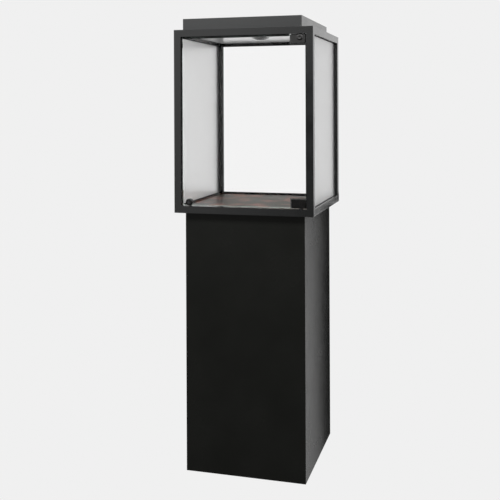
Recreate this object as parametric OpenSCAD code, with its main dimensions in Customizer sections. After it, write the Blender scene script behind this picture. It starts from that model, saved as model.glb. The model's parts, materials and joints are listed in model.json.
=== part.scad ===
// Pedestal display case: a laminate column carrying a glazed metal showcase
// with a lit hood and a pivot-hung, lockable glass door.
// Millimetres. Z is up, the door faces -Y, the door is hinged on the +X side.
// The origin is on the floor, in the middle of the case's outline.

/* [Case frame] */
// Outer width of the glazed case
case_w = 500; // [420:10:700]
// Outer depth of the glazed case
case_d = 500; // [440:10:700]
// Height of the glazed case, from the underside to the top of its frame
case_h = 645; // [450:5:1000]
// Outside size of the square frame profile
profile = 25; // [25:0.5:32]
// Wall of the profile
tube_wall = 1.5; // [1.2:0.1:2]
// Diameter of the tie screws that hold rails to posts
tie_screw_d = 4; // [3:0.5:4]
// Length of the plug inside each rail end
plug_len = 20; // [16:1:30]
// Thickness of the plate of a post's end cap
cap_t = 2; // [1:0.5:3]

/* [Glazing] */
// Thickness of the fixed panes
pane_t = 4; // [3:0.5:5]
// Distance from the frame's outer face to a pane's outer face
pane_setback = 11; // [9:0.5:11.5]
// Depth of the glazing groove in the profile
groove_depth = 7; // [5:0.5:7.5]
// Rubber beside the pane, on each side
gasket_t = 1.75; // [1:0.25:2]
// Rubber under the pane's edge
gasket_seat = 1; // [0.5:0.5:2]
// How far the rubber stands out of its groove
gasket_lip = 2.5; // [1:0.5:6]

/* [Floor and ceiling of the case] */
// Depth of the display deck below the top of the lower rails
deck_drop = 5; // [2:1:11]
// Thickness of the display deck
deck_t = 6; // [3:1:8]
// Height of the ceiling above the underside of the upper rails
ceiling_rise = 10; // [2:1:12]
// Thickness of the ceiling panel
ceiling_t = 3; // [2:0.5:6]
// Play round the boards that drop into the frame
board_play = 0.3; // [0:0.1:1]

/* [Pedestal] */
// Inset of the pedestal's sides from the case's sides
pedestal_inset_x = 35; // [10:1:40]
// Inset of the pedestal's front and rear from the case's front and rear
pedestal_inset_y = 20; // [10:1:40]
// Height of the pedestal's panels
pedestal_h = 913; // [400:1:1200]
// Thickness of the pedestal's boards
board_t = 18; // [12:1:25]
// Side of the square battens in the pedestal's corners
batten = 22; // [15:1:35]
// Diameter of a floor glide
glide_d = 34; // [20:1:50]
// Whole thickness of a floor glide
glide_t = 5; // [3:1:8]
// Distance from the pedestal's outer faces to the bolts that hold the case
case_bolt_inset = 80; // [60:5:110]
// Height of the panels above the floor
glide_stand = 2; // [1:0.5:3]
// Distance from the panels' outer faces to a glide's centre
glide_inset = 45; // [40:1:90]

/* [Hood] */
// Mean inset of the hood's sides from the case's sides
hood_inset_x = 35; // [33:1:60]
// Inset of the hood's front and rear from the case's front and rear
hood_inset_y = 20; // [10:1:40]
// Height of the hood above the frame
hood_h = 40; // [34:1:90]
// Sheet thickness of the hood
hood_sheet = 1.5; // [1:0.25:3]
// How far the hood sits from the middle, towards the lock side
hood_shift = 8; // [0:1:9]
// Height of the cleats that locate the hood
cleat = 16; // [12:1:22]

/* [Downlight] */
// Outer diameter of the downlight's bezel
bezel_d = 64; // [52:1:90]
// Thickness of the bezel's flange under the ceiling
bezel_flange = 1.5; // [1:0.5:3]
// Height of the bezel's cone under its flange
bezel_cone = 4; // [2:0.5:8]
// Diameter of the downlight's lens
lens_d = 36; // [24:1:44]
// Thickness of the lens
lens_t = 2; // [1:0.5:3]
// Diameter of the finned body above the ceiling
sink_d = 50; // [48:1:56]
// Height of the finned body above the ceiling's underside
sink_h = 34; // [26:1:44]
// Number of cooling slots in the finned body
sink_slots = 12; // [6:1:16]
// Length of the lamp driver
driver_l = 130; // [80:5:160]
// Width of the lamp driver
driver_w = 42; // [30:1:60]
// Height of the lamp driver
driver_h = 22; // [15:1:26]

/* [Door] */
// Thickness of the glass door
door_t = 6; // [5:0.5:8]
// Distance from the frame's front to the front of the door glass
door_recess = 12; // [10:0.5:13]
// Gap between the door glass and the frame
door_gap = 2.5; // [1.5:0.5:4]
// Thickness of the stop strip behind the door's upper edge
stop_t = 3; // [2:0.5:4]
// Height of the stop strip below the upper rail
stop_h = 6; // [4:0.5:7]

/* [Pivot hinges] */
// Width of a hinge's plates
hinge_w = 52; // [44:1:70]
// Height of a hinge's plates
hinge_h = 29; // [25:1:40]
// Distance from the hinge's free edge to the pivot axis
pivot_inset = 19.5; // [17:0.5:24]
// Thickness of the front plate
hinge_front_t = 5; // [4:0.5:6]
// Thickness of the back plate
hinge_back_t = 4; // [3:0.5:6]
// Corner radius of the plates, seen from above
hinge_round = 3; // [1:0.5:3.5]
// Thickness of the clear pads that the glass is clamped between
pad_t = 1; // [0.5:0.25:1.5]
// How far the pads show past the plates
pad_show = 3.5; // [1:0.5:6]
// Width of the corner cut out of the glass for the hinge's web
notch_w = 34; // [30:1:38]
// Height of the corner cut out of the glass for the hinge's web
notch_h = 18; // [14:1:20]
// Play between the web and the cut-out
web_play = 1; // [0.5:0.5:2]
// Diameter of the pivot pin
pin_d = 6; // [4:0.5:6.5]
// How deep the pin reaches into its bush
pin_reach = 7; // [4:0.5:8]
// Radial running clearance of pins and plug
running = 0.05; // [0.02:0.01:0.1]
// Outer diameter of the pivot bushes
bush_d = 12; // [10.5:0.5:13]
// Diameter of a bush's collar
bush_collar_d = 15; // [14:0.5:16]
// Thickness of a bush's collar
bush_collar_t = 1; // [0.5:0.25:1.5]
// Diameter of the clamp screws
clamp_screw_d = 5; // [4:0.5:5]
// Diameter of the round adjuster on the upper hinge
adjuster_d = 22; // [16:1:24]
// How far the adjuster stands proud of its plate
adjuster_t = 2; // [1:0.5:3]

/* [Lock] */
// Diameter of the lock's round front
lock_d = 24; // [22:0.5:26]
// How far the lock's front stands out of the glass
lock_proud = 11; // [6:0.5:11.5]
// Distance from the door's free edge to the lock's axis
lock_inset = 25.5; // [18:0.5:40]
// Height of the lock's axis above the lower rail
lock_rise = 13.6; // [13.3:0.1:20]
// Diameter of the lock's barrel
barrel_d = 17; // [16:0.5:18]
// Diameter of the turning plug
plug_d = 11; // [9:0.5:12]
// Thickness of the ring nut behind the glass
nut_t = 2.5; // [2:0.25:3]
// Radial width of the ring nut
nut_wall = 2; // [1.5:0.25:2]
// Width of the cam's arm
cam_w = 7; // [6:0.5:8]
// Thickness of the cam
cam_t = 2; // [1.5:0.25:2.5]
// Width of the keeper that the cam turns behind
keeper_w = 8; // [6:0.5:12]
// Thickness of the keeper's leg
keeper_t = 2; // [1.5:0.25:2]
// Length of the keeper's foot in front of its leg
keeper_foot = 8; // [6:0.5:9]
// Thickness of the keeper's foot
keeper_foot_t = 1; // [0.5:0.1:1.2]

/* [Leads] */
// Diameter of the lamp's supply lead
lead_d = 4; // [3:0.5:4]
// Bend radius of the leads
lead_bend = 8; // [7:0.5:8]
// Distance of the supply lead and its inlet from the case's right side
lead_inset = 100; // [90:1:120]
// Height of the power inlet above the floor
inlet_z = 90; // [60:5:300]

/* [Hidden] */
$fn = 48;
eps = 0.01;

// Heights of the main levels
case_z = glide_stand + pedestal_h;
rail_top = case_z + profile;
deck_z = rail_top - deck_drop;
base_t = profile - deck_drop - deck_t;
frame_top = case_z + case_h;
lintel_z = frame_top - profile;
ceiling_z = lintel_z + ceiling_rise;
roof_t = profile - ceiling_rise - ceiling_t;
half_w = case_w / 2;
half_d = case_d / 2;
lead_x = half_w - lead_inset;
pedestal_w = case_w - 2 * pedestal_inset_x;
pedestal_d = case_d - 2 * pedestal_inset_y;
hood_w = case_w - 2 * hood_inset_x;
hood_d = case_d - 2 * hood_inset_y;
in_w = case_w - 2 * profile;
in_d = case_d - 2 * profile;

// Section of the profile: a hollow at its outer corner, a groove at its inner faces
hollow = profile - groove_depth - 2 * tube_wall;
groove_w = pane_t + 2 * gasket_t;
groove_x = pane_setback - gasket_t;
engage = groove_depth - gasket_seat;
tie_at = (tube_wall + groove_x) / 2;
tie_z = tube_wall + hollow / 2;
tie_head_d = 7.4;
tie_head_t = 2.6;
fit_play = 0.1;

// Panes
pane_h = case_h - 2 * profile + 2 * engage;
side_pane_w = in_d + 2 * engage;
rear_pane_w = in_w + 2 * engage;
pane_z = rail_top - engage;

// Door
door_y = -half_d + door_recess;
door_w = in_w - 2 * door_gap;
door_h = case_h - 2 * profile - 2 * door_gap;
door_z = rail_top + door_gap;
door_mid_y = door_y + door_t / 2;
pivot_x = in_w / 2 - door_gap - pivot_inset;
web_t = door_t + 2 * pad_t;
clamp_hole_d = clamp_screw_d + 4;
adjuster_play = 0.5;

// Lock
lock_x = -in_w / 2 + door_gap + lock_inset;
lock_z = rail_top + lock_rise;
lock_front = door_y - lock_proud;
lock_back = door_y + door_t + pad_t;
lock_bevel = 1.5;
lock_clear = 0.5;
nut_back = lock_back + nut_t;
nut_r = barrel_d / 2 + nut_wall;
notch_play = 0.3;
keeper_y = nut_back + lock_clear;
cam_y = keeper_y + keeper_t + lock_clear;
plug_sink = 0.6;
collar_r = plug_d / 2 + 0.7;
collar_play = 0.3;
cam_lift = 0.8;
cam_l = lock_rise - cam_lift;
cam_square = 6;
cam_screw_d = 3;
cam_screw_len = 6;
cam_head_d = 1.5 * cam_square;
cam_head_t = 1.5;
keeper_h = lock_rise - collar_r - lock_clear;
keeper_peg_d = 3;
keeper_peg_len = 5;
keeper_peg_y = keeper_y - keeper_foot / 2;

// Hood
hood_x = -hood_shift;
cleat_x = hood_w / 2 - hood_sheet - cleat / 2;
screw_head_d = 7;
wood_screw_d = 4;

// Levels and turns of the supply lead inside the frame
lead_r = lead_d / 2;
lead_y = half_d - tube_wall - hollow / 2;
lead_post_x = half_w - tube_wall - lead_r - 3.5;
lead_hi = tube_wall + hollow - lead_r - 0.5;
lead_lo = tube_wall + lead_r + 1;
lead_in_y = pedestal_d / 2 - board_t - 15;
lead_hole = lead_d + 1;
lead_slot = lead_d + 6;
inlet_depth = 22;
driver_z = frame_top + driver_h / 2;
driver_y = hood_d / 2 - hood_sheet - driver_w / 2 - board_play;

// A copy of its children in each corner of a w x d rectangle, turned to face the middle
module corners(w, d) {
    for (sx = [-1, 1], sy = [-1, 1])
        translate([sx * w / 2, sy * d / 2, 0])
            scale_sign(sx, sy)
                children();
}

// Mirrors its children so that +x and +y point from a corner towards the middle
module scale_sign(sx, sy) {
    mirror([sx > 0 ? 1 : 0, 0, 0])
        mirror([0, sy > 0 ? 1 : 0, 0])
            children();
}

// Section of the profile, its outer corner at the origin
module section(groove_on_x, groove_on_y) {
    difference() {
        square(profile);
        translate([tube_wall, tube_wall])
            square(hollow);
        if (groove_on_x)
            translate([profile - groove_depth, groove_x])
                square([groove_depth + eps, groove_w]);
        if (groove_on_y)
            translate([groove_x, profile - groove_depth])
                square([groove_w, groove_depth + eps]);
    }
}

// A post between its end caps, standing in a corner of the case
module post(sx, sy, groove_on_x) {
    translate([sx * half_w, sy * half_d, case_z])
        scale_sign(sx, sy)
            difference() {
                translate([0, 0, cap_t])
                    linear_extrude(case_h - 2 * cap_t)
                        section(groove_on_x, true);
                for (z = [tie_z, case_h - tie_z]) {
                    translate([tie_at, profile / 2, z])
                        rotate([-90, 0, 0])
                            cylinder(h = profile, d = tie_screw_d, $fn = 24);
                    translate([profile / 2, tie_at, z])
                        rotate([0, 90, 0])
                            cylinder(h = profile, d = tie_screw_d, $fn = 24);
                }
            }
}

// A rail along x, its outer lower edge at the origin and its middle at x = 0
module rail_along(length, grooved) {
    translate([-length / 2, 0, 0])
        rotate([90, 0, 90])
            linear_extrude(length)
                section(false, grooved);
}

// Places a lower rail's outer edge on one side of the case: 0 front, 1 rear, 2 left, 3 right
module on_side(side) {
    if (side == 0)
        translate([0, -half_d, case_z])
            children();
    if (side == 1)
        translate([0, half_d, case_z])
            mirror([0, 1, 0])
                children();
    if (side == 2)
        translate([-half_w, 0, case_z])
            rotate([0, 0, -90])
                children();
    if (side == 3)
        translate([half_w, 0, case_z])
            rotate([0, 0, 90])
                children();
}

// Turns a lower piece of the frame into the upper one
module upper() {
    translate([0, 0, 2 * case_z + case_h])
        mirror([0, 0, 1])
            children();
}

function side_len(side) = side < 2 ? in_w : in_d;

// One tie screw: its head inside the post, its shank in the rail's plug
module tie_screw() {
    translate([0, 0, -profile + tube_wall + hollow])
        mirror([0, 0, 1])
            cylinder(h = tie_head_t, d = tie_head_d, $fn = 24);
    translate([0, 0, -profile + tube_wall + hollow - eps])
        cylinder(h = profile - tube_wall - hollow + plug_len - 4, d = tie_screw_d, $fn = 24);
}

// Both tie screws of one rail
module rail_ties(side) {
    on_side(side)
        for (s = [-1, 1])
            translate([s * side_len(side) / 2, tie_at, tie_z])
                rotate([0, -90 * s, 0])
                    tie_screw();
}

// Both plugs of one rail, bored for their tie screws and, where it passes, for the lead
module plug_pair(side, lead_side) {
    on_side(side)
        for (s = [-1, 1])
            difference() {
                translate([s * (side_len(side) / 2 - plug_len / 2), tube_wall + hollow / 2,
                           tube_wall + hollow / 2])
                    cube([plug_len - fit_play, hollow - fit_play, hollow - fit_play], center = true);
                translate([s * side_len(side) / 2, tie_at, tie_z])
                    rotate([0, 90, 0])
                        cylinder(h = 3 * plug_len, d = tie_screw_d, center = true, $fn = 24);
                if (s == lead_side)
                    translate([s * side_len(side) / 2, half_d - lead_y, lead_hi])
                        rotate([0, 90, 0])
                            cylinder(h = 3 * plug_len, d = lead_hole, center = true, $fn = 24);
            }
}

// Countersunk screw pointing up, the top of its head at z = 0
module wood_screw(length) {
    mirror([0, 0, 1]) {
        cylinder(h = screw_head_d / 2 - wood_screw_d / 2, d1 = screw_head_d, d2 = wood_screw_d);
        cylinder(h = length, d = wood_screw_d, $fn = 24);
    }
}

// A board whose two upright edges are mitred, its outer face on y = 0
module mitred_panel(w, h, t) {
    linear_extrude(h)
        polygon([[-w / 2, 0], [w / 2, 0], [w / 2 - t, t], [-w / 2 + t, t]]);
}

// Positions of the four glides
module at_glides() {
    for (sx = [-1, 1], sy = [-1, 1])
        translate([sx * (pedestal_w / 2 - glide_inset), sy * (pedestal_d / 2 - glide_inset), 0])
            children();
}

// Heights of the screws along a batten
batten_len = pedestal_h - 2 * board_t;
batten_screw_z = [for (i = [0:3]) glide_stand + board_t + batten_len * (i + 0.5) / 4];

module floor_glides() {
    color("dimgray")
        at_glides() {
            cylinder(h = glide_t, d = glide_d);
            translate([0, 0, glide_t - eps])
                cylinder(h = board_t / 2, d = glide_d / 4, $fn = 24);
        }
}

module pedestal_base() {
    w = pedestal_w - 2 * board_t;
    d = pedestal_d - 2 * board_t;
    color("peru")
        difference() {
            translate([-w / 2, -d / 2, glide_stand])
                cube([w, d, board_t]);
            at_glides() {
                cylinder(h = glide_t, d = glide_d);
                cylinder(h = glide_t + board_t / 2, d = glide_d / 4, $fn = 24);
            }
        }
}

module pedestal_top() {
    w = pedestal_w - 2 * board_t;
    d = pedestal_d - 2 * board_t;
    color("peru")
        difference() {
            translate([-w / 2, -d / 2, case_z - board_t])
                cube([w, d, board_t]);
            translate([lead_x, lead_in_y, case_z - 2 * board_t])
                cylinder(h = 3 * board_t, r = lead_bend + lead_d);
            case_bolt_holes();
        }
}

module pedestal_front() {
    color("#242523")
        difference() {
            translate([0, -pedestal_d / 2, glide_stand])
                mitred_panel(pedestal_w, pedestal_h, board_t);
            batten_screw_set();
        }
}

module pedestal_rear() {
    color("#242523")
        difference() {
            translate([0, pedestal_d / 2, glide_stand])
                rotate([0, 0, 180])
                    mitred_panel(pedestal_w, pedestal_h, board_t);
            translate([lead_x, pedestal_d / 2, inlet_z]) {
                cube([inlet_w + 1, 3 * board_t, inlet_h + 1], center = true);
                for (s = [-1, 1])
                    translate([s * inlet_pitch / 2, 0, 0])
                        rotate([90, 0, 0])
                            cylinder(h = 12, d = inlet_screw_d, center = true, $fn = 24);
            }
            batten_screw_set();
        }
}

module pedestal_left() {
    color("#242523")
        translate([-pedestal_w / 2, 0, glide_stand])
            rotate([0, 0, -90])
                mitred_panel(pedestal_d, pedestal_h, board_t);
}

module pedestal_right() {
    color("#242523")
        translate([pedestal_w / 2, 0, glide_stand])
            rotate([0, 0, 90])
                mitred_panel(pedestal_d, pedestal_h, board_t);
}

// Battens glued and screwed into the four upright corners
module corner_battens() {
    color("burlywood")
        difference() {
            translate([0, 0, glide_stand + board_t])
                corners(pedestal_w - 2 * board_t, pedestal_d - 2 * board_t)
                    cube([batten, batten, batten_len]);
            batten_screw_set();
        }
}

module batten_screws() {
    color("silver")
        batten_screw_set();
}

// Screws from the battens into the front and rear panels
module batten_screw_set() {
    for (z = batten_screw_z)
        translate([0, 0, z])
            corners(pedestal_w - 2 * board_t, pedestal_d - 2 * board_t)
                translate([batten / 2, batten, 0])
                    rotate([-90, 0, 0])
                        wood_screw(batten + board_t / 2);
}

// Power inlet: a flanged socket set into the rear panel
inlet_w = 28;
inlet_h = 20;
inlet_pitch = 40;
inlet_screw_d = 3;
inlet_flange = 2;
module power_inlet() {
    flange_w = inlet_pitch + 10;
    flange_h = inlet_h + 4;
    color("black")
        translate([lead_x, pedestal_d / 2, inlet_z])
            difference() {
                union() {
                    translate([-inlet_w / 2, -inlet_depth, -inlet_h / 2])
                        cube([inlet_w, inlet_depth + eps, inlet_h]);
                    translate([-flange_w / 2, 0, -flange_h / 2])
                        cube([flange_w, inlet_flange, flange_h]);
                }
                difference() {
                    translate([-inlet_w / 2 + 2, -inlet_depth + 5, -inlet_h / 2 + 2])
                        cube([inlet_w - 4, inlet_depth, inlet_h - 4]);
                    for (i = [-1:1])
                        translate([7 * i - 1, -inlet_depth + 4, -2 + 2 * abs(i) - 2])
                            cube([2, inlet_depth - 6, 4]);
                }
                for (s = [-1, 1])
                    translate([s * inlet_pitch / 2, 0, 0])
                        rotate([90, 0, 0])
                            cylinder(h = 12, d = inlet_screw_d, center = true, $fn = 24);
            }
}

module inlet_screws() {
    color("silver")
        for (s = [-1, 1])
            translate([lead_x + s * inlet_pitch / 2, pedestal_d / 2 + inlet_flange, inlet_z])
                rotate([90, 0, 0]) {
                    translate([0, 0, -1.6])
                        cylinder(h = 1.6, d = 2 * inlet_screw_d, $fn = 24);
                    translate([0, 0, -eps])
                        cylinder(h = 6 + inlet_flange, d = inlet_screw_d, $fn = 24);
                }
}

// Four bolts join the case's base to the pedestal's top board
bolt_d = 8;
bolt_head_d = 16;
bolt_head_t = 3;
module at_case_bolts() {
    for (sx = [-1, 1], sy = [-1, 1])
        translate([sx * (pedestal_w / 2 - case_bolt_inset), sy * (pedestal_d / 2 - case_bolt_inset),
                   deck_z - deck_t])
            children();
}

module case_bolt_holes() {
    at_case_bolts()
        translate([0, 0, -bolt_head_t]) {
            cylinder(h = 2 * bolt_head_t, d = bolt_head_d);
            translate([0, 0, -3 * board_t])
                cylinder(h = 3 * board_t + eps, d = bolt_d);
        }
}

module case_bolts() {
    color("silver")
        at_case_bolts()
            translate([0, 0, -bolt_head_t]) {
                cylinder(h = bolt_head_t, d = bolt_head_d);
                translate([0, 0, -base_t - board_t])
                    cylinder(h = base_t + board_t + eps, d = bolt_d);
                translate([0, 0, -base_t + bolt_head_t - board_t - 6])
                    cylinder(h = 6, d = 1.7 * bolt_d, $fn = 6);
            }
}

// Board that carries the deck and ties the lower rails together
module case_base() {
    color("peru")
        difference() {
            translate([-in_w / 2 + board_play, -in_d / 2 + board_play, case_z])
                cube([in_w - 2 * board_play, in_d - 2 * board_play, base_t]);
            translate([lead_x - lead_slot / 2, lead_in_y - lead_slot / 2, case_z - eps])
                cube([lead_slot, in_d / 2, base_t + 2 * eps]);
            case_bolt_holes();
        }
}

module deck() {
    color("#3a3633")
        translate([-in_w / 2 + board_play, -in_d / 2 + board_play, deck_z - deck_t])
            cube([in_w - 2 * board_play, in_d - 2 * board_play, deck_t]);
}

module post_front_left() {
    color("#303132")
        post(-1, -1, false);
}

module post_front_right() {
    color("#303132")
        post(1, -1, false);
}

module post_rear_left() {
    color("#303132")
        post(-1, 1, true);
}

// The supply lead climbs in this post
module post_rear_right() {
    color("#303132")
        difference() {
            post(1, 1, true);
            for (z = [case_z + lead_hi, frame_top - lead_hi])
                translate([half_w - profile / 2, lead_y, z])
                    rotate([0, -90, 0])
                        cylinder(h = profile, d = lead_hole, $fn = 24);
        }
}

// Plastic caps that close both ends of each post
module post_caps() {
    color("#262728")
        for (z = [case_z, frame_top - cap_t])
            translate([0, 0, z])
                corners(case_w, case_d)
                    cube([profile, profile, cap_t]);
}

// The door's lower pivot bush and the keeper's peg sit in this rail
module rail_lower_front() {
    color("#303132")
        difference() {
            on_side(0)
                rail_along(in_w, false);
            translate([pivot_x, door_mid_y, rail_top - 2 * tube_wall - groove_depth])
                cylinder(h = profile, d = bush_d);
            translate([lock_x, keeper_peg_y, rail_top - keeper_peg_len])
                cylinder(h = 2 * keeper_peg_len, d = keeper_peg_d, $fn = 24);
        }
}

// The supply lead leaves this rail towards the pedestal
module rail_lower_rear() {
    color("#303132")
        difference() {
            on_side(1)
                rail_along(in_w, true);
            translate([lead_x, half_d - profile / 2, case_z + lead_lo])
                rotate([90, 0, 0])
                    cylinder(h = profile, d = lead_hole, $fn = 24);
        }
}

module rail_lower_left() {
    color("#303132")
        on_side(2)
            rail_along(in_d, true);
}

module rail_lower_right() {
    color("#303132")
        on_side(3)
            rail_along(in_d, true);
}

// The door's upper pivot bush and the stop strip's tongue sit in this rail
module rail_upper_front() {
    color("#303132")
        difference() {
            upper()
                on_side(0)
                    rail_along(in_w, false);
            translate([pivot_x, door_mid_y, lintel_z - tube_wall])
                cylinder(h = 3 * tube_wall + groove_depth, d = bush_d);
            translate([stop_left, stop_y + stop_t / 3, lintel_z - stop_h])
                cube([stop_len, stop_t / 3, stop_h + stop_seat]);
        }
}

// The supply lead leaves this rail towards the hood
module rail_upper_rear() {
    color("#303132")
        difference() {
            upper()
                on_side(1)
                    rail_along(in_w, true);
            translate([lead_x, half_d - profile / 2, frame_top - lead_lo])
                rotate([90, 0, 0])
                    cylinder(h = profile, d = lead_hole, $fn = 24);
        }
}

module rail_upper_left() {
    color("#303132")
        upper()
            on_side(2)
                rail_along(in_d, true);
}

module rail_upper_right() {
    color("#303132")
        upper()
            on_side(3)
                rail_along(in_d, true);
}

// A plug in every rail end takes the tie screw
module rail_plugs() {
    color("gray") {
        for (side = [0:3])
            plug_pair(side, side == 1 ? 1 : 0);
        upper()
            for (side = [0:3])
                plug_pair(side, side == 1 ? 1 : 0);
    }
}

module tie_screws() {
    color("silver") {
        for (side = [0:3])
            rail_ties(side);
        upper()
            for (side = [0:3])
                rail_ties(side);
    }
}

// One side pane, sx = -1 left or 1 right
module side_pane(sx) {
    color([0.8, 0.85, 0.85, 0.4])
        translate([sx * (half_w - pane_setback - pane_t / 2), 0, pane_z + pane_h / 2])
            cube([pane_t, side_pane_w, pane_h], center = true);
}

module pane_left() {
    side_pane(-1);
}

module pane_right() {
    side_pane(1);
}

module pane_rear() {
    color([0.85, 0.9, 0.9, 0.4])
        translate([0, half_d - pane_setback - pane_t / 2, pane_z + pane_h / 2])
            cube([rear_pane_w, pane_t, pane_h], center = true);
}

// Rubber channel round one pane that lies in the xz plane, centred on the origin
module gasket_ring(w, h) {
    difference() {
        cube([w + 2 * gasket_seat, groove_w, h + 2 * gasket_seat], center = true);
        cube([w, pane_t, h], center = true);
        cube([w - 2 * engage - 2 * gasket_lip, 2 * groove_w, h - 2 * engage - 2 * gasket_lip],
             center = true);
    }
}

module pane_gaskets() {
    color("#101010")
        translate([0, 0, pane_z + pane_h / 2]) {
            for (s = [-1, 1])
                translate([s * (half_w - pane_setback - pane_t / 2), 0, 0])
                    rotate([0, 0, 90])
                        gasket_ring(side_pane_w, pane_h);
            translate([0, half_d - pane_setback - pane_t / 2, 0])
                gasket_ring(rear_pane_w, pane_h);
        }
}

// Board that closes the frame's top and carries the hood and the lamp
module roof_board() {
    color("peru")
        difference() {
            translate([-in_w / 2 + board_play, -in_d / 2 + board_play, frame_top - roof_t])
                cube([in_w - 2 * board_play, in_d - 2 * board_play, roof_t]);
            translate([0, 0, frame_top - 2 * roof_t])
                cylinder(h = 3 * roof_t, d = sink_d + 2);
            translate([lead_x - lead_slot / 2, driver_y - lead_slot / 2, frame_top - roof_t - eps])
                cube([lead_slot, in_d / 2, roof_t + 2 * eps]);
            hood_screw_set();
        }
}

module ceiling() {
    color("whitesmoke")
        difference() {
            translate([-in_w / 2 + board_play, -in_d / 2 + board_play, ceiling_z])
                cube([in_w - 2 * board_play, in_d - 2 * board_play, ceiling_t]);
            translate([0, 0, ceiling_z - ceiling_t])
                cylinder(h = 3 * ceiling_t, d = sink_d + 2);
        }
}

// Places something on the middle of the hood's floor
module in_hood() {
    translate([hood_x, 0, frame_top])
        children();
}

// Folded sheet hood, open below
module hood() {
    color("#3c3d3e")
        difference() {
            in_hood()
                difference() {
                    translate([-hood_w / 2, -hood_d / 2, 0])
                        cube([hood_w, hood_d, hood_h]);
                    translate([-hood_w / 2 + hood_sheet, -hood_d / 2 + hood_sheet, -eps])
                        cube([hood_w - 2 * hood_sheet, hood_d - 2 * hood_sheet,
                              hood_h - hood_sheet + eps]);
                }
            hood_screw_set();
        }
}

// Countersunk screws: two through the hood's rear wall, four up through the roof board
module hood_screw_set() {
    length = roof_t + cleat - 4;
    in_hood()
        for (s = [-1, 1])
            translate([s * cleat_x, 0, 0]) {
                translate([0, hood_d / 2, cleat / 2])
                    rotate([90, 0, 0])
                        mirror([0, 0, 1])
                            wood_screw(length);
                for (y = [-0.3, 0.3])
                    translate([0, y * hood_d, -roof_t])
                        mirror([0, 0, 1])
                            wood_screw(length);
            }
}

module hood_cleats() {
    color("burlywood")
        difference() {
            in_hood()
                for (s = [-1, 1])
                    translate([s * cleat_x, 0, cleat / 2])
                        cube([cleat, hood_d - 2 * hood_sheet, cleat], center = true);
            hood_screw_set();
        }
}

module hood_screws() {
    color("silver")
        hood_screw_set();
}

// Turned bezel: a flange under the ceiling, a cone round the lens and a collar above
module downlight_bezel() {
    lens_r = lens_d / 2;
    collar_r = sink_d / 2 - 3;
    color("#4a4a4a")
        translate([0, 0, ceiling_z])
            rotate_extrude($fn = 96)
                polygon([
                    [lens_r + 0.2, 3],
                    [lens_r + 0.2, 0],
                    [lens_r - 1, 0],
                    [lens_r - 1, -bezel_flange - bezel_cone],
                    [lens_r + 1, -bezel_flange - bezel_cone],
                    [bezel_d / 2 - 4, -bezel_flange],
                    [bezel_d / 2, -bezel_flange],
                    [bezel_d / 2, 0],
                    [collar_r, 0],
                    [collar_r, 3]
                ]);
}

module downlight_lens() {
    color([0.95, 0.95, 0.9, 0.6])
        translate([0, 0, ceiling_z])
            cylinder(h = lens_t, d = lens_d);
}

// Finned body of the lamp, standing through the ceiling and the roof board
module downlight_body() {
    color("silver")
        difference() {
            translate([0, 0, ceiling_z + 3])
                cylinder(h = sink_h - 3, d = sink_d);
            for (i = [0:sink_slots - 1])
                rotate([0, 0, 360 * i / sink_slots])
                    translate([sink_d / 2 - 7, -1.2, ceiling_z + 14])
                        cube([sink_d, 2.4, sink_h]);
        }
}

driver_x = lead_x - 2.5 * lead_bend - driver_l / 2;
module led_driver() {
    color("white")
        translate([driver_x, driver_y, driver_z])
            cube([driver_l, driver_w, driver_h], center = true);
}

function unit(v) = v / norm(v);
function turn_pts(a, b, c, r, n) =
    let(u = unit(a - b), w = unit(c - b), half = acos(max(-1, min(1, u * w))) / 2,
        cut = r / tan(half), centre = b + unit(u + w) * r / sin(half),
        p = b + u * cut - centre, q = b + w * cut - centre, full = 180 - 2 * half)
    [for (i = [0:n]) centre + (p * sin(full * (1 - i / n)) + q * sin(full * i / n)) / sin(full)];
function route(pts, r, n = 4) =
    concat([pts[0]],
           [for (i = [1:len(pts) - 2]) each turn_pts(pts[i - 1], pts[i], pts[i + 1], r, n)],
           [pts[len(pts) - 1]]);
function heading(p, i) =
    unit(p[min(i + 1, len(p) - 1)] - p[max(i - 1, 0)]);
function carried(prev, t) = unit(prev - t * (prev * t));
function sides(p, t, i, prev) =
    i >= len(p) ? [] : let(s = carried(prev, t[i])) concat([s], sides(p, t, i + 1, s));

// A round lead swept along its route
module lead(pts) {
    n = 8;
    p = route(pts, lead_bend);
    t = [for (i = [0:len(p) - 1]) heading(p, i)];
    s = sides(p, t, 0, abs(t[0].z) < 0.9 ? [0, 0, 1] : [1, 0, 0]);
    rings = [for (i = [0:len(p) - 1], k = [0:n - 1])
        p[i] + lead_r * (cos(360 * k / n) * s[i] + sin(360 * k / n) * cross(t[i], s[i]))];
    last = (len(p) - 1) * n;
    faces = concat(
        [[for (k = [0:n - 1]) k]],
        [for (i = [0:len(p) - 2], k = [0:n - 1])
            [i * n + k, (i + 1) * n + k, (i + 1) * n + (k + 1) % n, i * n + (k + 1) % n]],
        [[for (k = [n - 1:-1:0]) last + k]]);
    polyhedron(rings, faces);
}

// Lead from the inlet up the pedestal, through the rear right post and into the hood
lead_step = plug_len + 2 * lead_bend;
module supply_lead() {
    low = case_z + lead_lo;
    high = frame_top - lead_lo;
    color("#1c1c1c")
        lead([
            [lead_x, pedestal_d / 2 - inlet_depth, inlet_z],
            [lead_x, lead_in_y, inlet_z],
            [lead_x, lead_in_y, low],
            [lead_x, lead_y, low],
            [in_w / 2 - lead_step - 15, lead_y, low],
            [in_w / 2 - lead_step, lead_y, case_z + lead_hi],
            [lead_post_x, lead_y, case_z + lead_hi],
            [lead_post_x, lead_y, frame_top - lead_hi],
            [in_w / 2 - lead_step, lead_y, frame_top - lead_hi],
            [in_w / 2 - lead_step - 15, lead_y, high],
            [lead_x, lead_y, high],
            [lead_x, driver_y, high],
            [lead_x, driver_y, driver_z],
            [driver_x + driver_l / 2, driver_y, driver_z]
        ]);
}

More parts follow.
